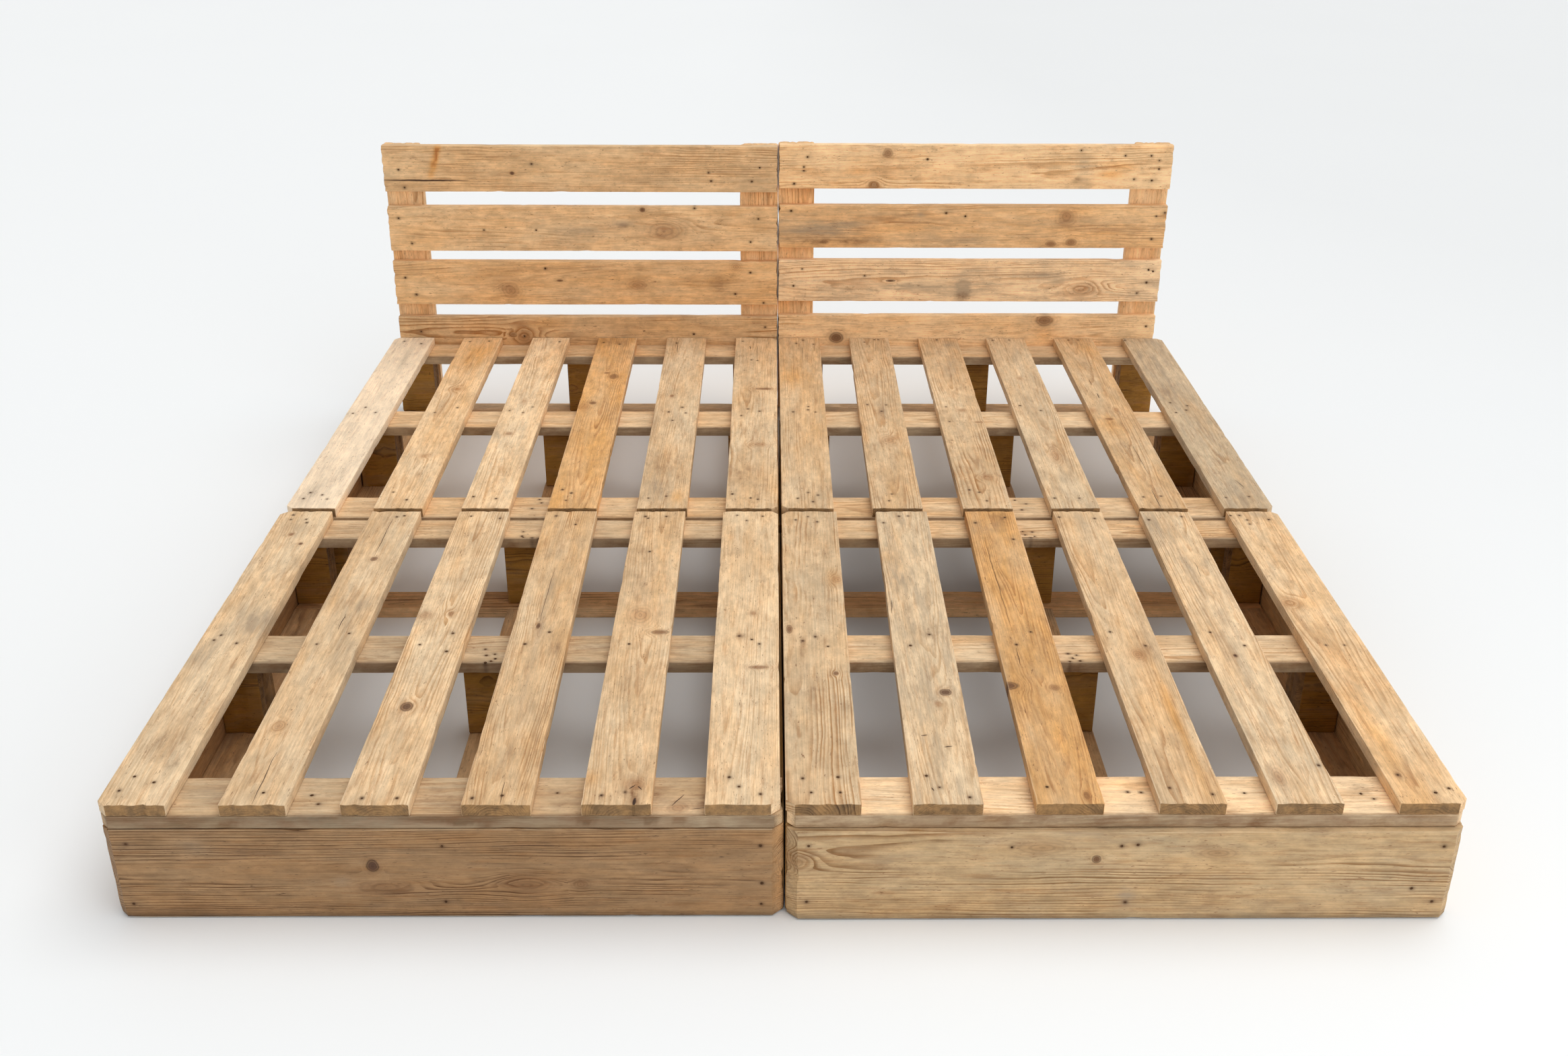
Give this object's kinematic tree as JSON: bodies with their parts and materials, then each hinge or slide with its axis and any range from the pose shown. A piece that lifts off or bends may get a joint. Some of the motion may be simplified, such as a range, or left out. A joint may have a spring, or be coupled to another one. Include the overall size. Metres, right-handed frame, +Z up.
{
  "type": "pallet bed",
  "caption": "Low double bed made of wooden pallets laid side by side, with a slatted headboard on flat posts at one end.",
  "frame": {"origin": "on the floor, under the centre of the bed's outer box", "axes": "+Z up; +Y along the bed, from the foot to the headboard; +X to the right of someone who stands at the foot and looks at the headboard"},
  "size_m": [2.01, 2.1096, 0.7076],
  "materials": {
    "deck_pale": "sawn, unfinished",
    "deck_greyed": "sawn, weathered",
    "deck_orange": "sawn, resin-rich",
    "cross_board": "sawn, unfinished",
    "base_wood": "sawn, dirty",
    "left_fascia": "sawn, weathered",
    "right_fascia": "sawn, unfinished",
    "slat": "sawn, unfinished",
    "post": "sawn, unfinished"
  },
  "bodies": {
    "root": {"foot_left_base_frame": "base_wood", "foot_left_cross_board_1": "cross_board", "foot_left_cross_board_2": "cross_board", "foot_left_cross_board_3": "cross_board", "foot_left_deck_board_1": "deck_pale", "foot_left_deck_board_2": "deck_pale", "foot_left_deck_board_3": "deck_pale", "foot_left_deck_board_4": "deck_pale", "foot_left_deck_board_5": "deck_pale", "foot_left_deck_board_6": "deck_pale", "foot_left_front_fascia": "left_fascia", "foot_left_side_fascia": "left_fascia", "foot_right_base_frame": "base_wood", "foot_right_cross_board_1": "cross_board", "foot_right_cross_board_2": "cross_board", "foot_right_cross_board_3": "cross_board", "foot_right_deck_board_1": "deck_pale", "foot_right_deck_board_2": "deck_greyed", "foot_right_deck_board_3": "deck_orange", "foot_right_deck_board_4": "deck_pale", "foot_right_deck_board_5": "deck_pale", "foot_right_deck_board_6": "deck_pale", "foot_right_front_fascia": "right_fascia", "foot_right_side_fascia": "right_fascia", "head_left_base_frame": "base_wood", "head_left_cross_board_1": "cross_board", "head_left_cross_board_2": "cross_board", "head_left_cross_board_3": "cross_board", "head_left_deck_board_1": "deck_pale", "head_left_deck_board_2": "deck_pale", "head_left_deck_board_3": "deck_pale", "head_left_deck_board_4": "deck_orange", "head_left_deck_board_5": "deck_pale", "head_left_deck_board_6": "deck_pale", "head_left_side_fascia": "left_fascia", "head_right_base_frame": "base_wood", "head_right_cross_board_1": "cross_board", "head_right_cross_board_2": "cross_board", "head_right_cross_board_3": "cross_board", "head_right_deck_board_1": "deck_pale", "head_right_deck_board_2": "deck_pale", "head_right_deck_board_3": "deck_pale", "head_right_deck_board_4": "deck_pale", "head_right_deck_board_5": "deck_pale", "head_right_deck_board_6": "deck_greyed", "head_right_side_fascia": "right_fascia", "headboard_left_inner_post": "post", "headboard_left_outer_post": "post", "headboard_left_slat_1": "slat", "headboard_left_slat_2": "slat", "headboard_left_slat_3": "slat", "headboard_left_slat_4": "slat", "headboard_right_inner_post": "post", "headboard_right_outer_post": "post", "headboard_right_slat_1": "slat", "headboard_right_slat_2": "slat", "headboard_right_slat_3": "slat", "headboard_right_slat_4": "slat"}
  },
  "joints": []
}
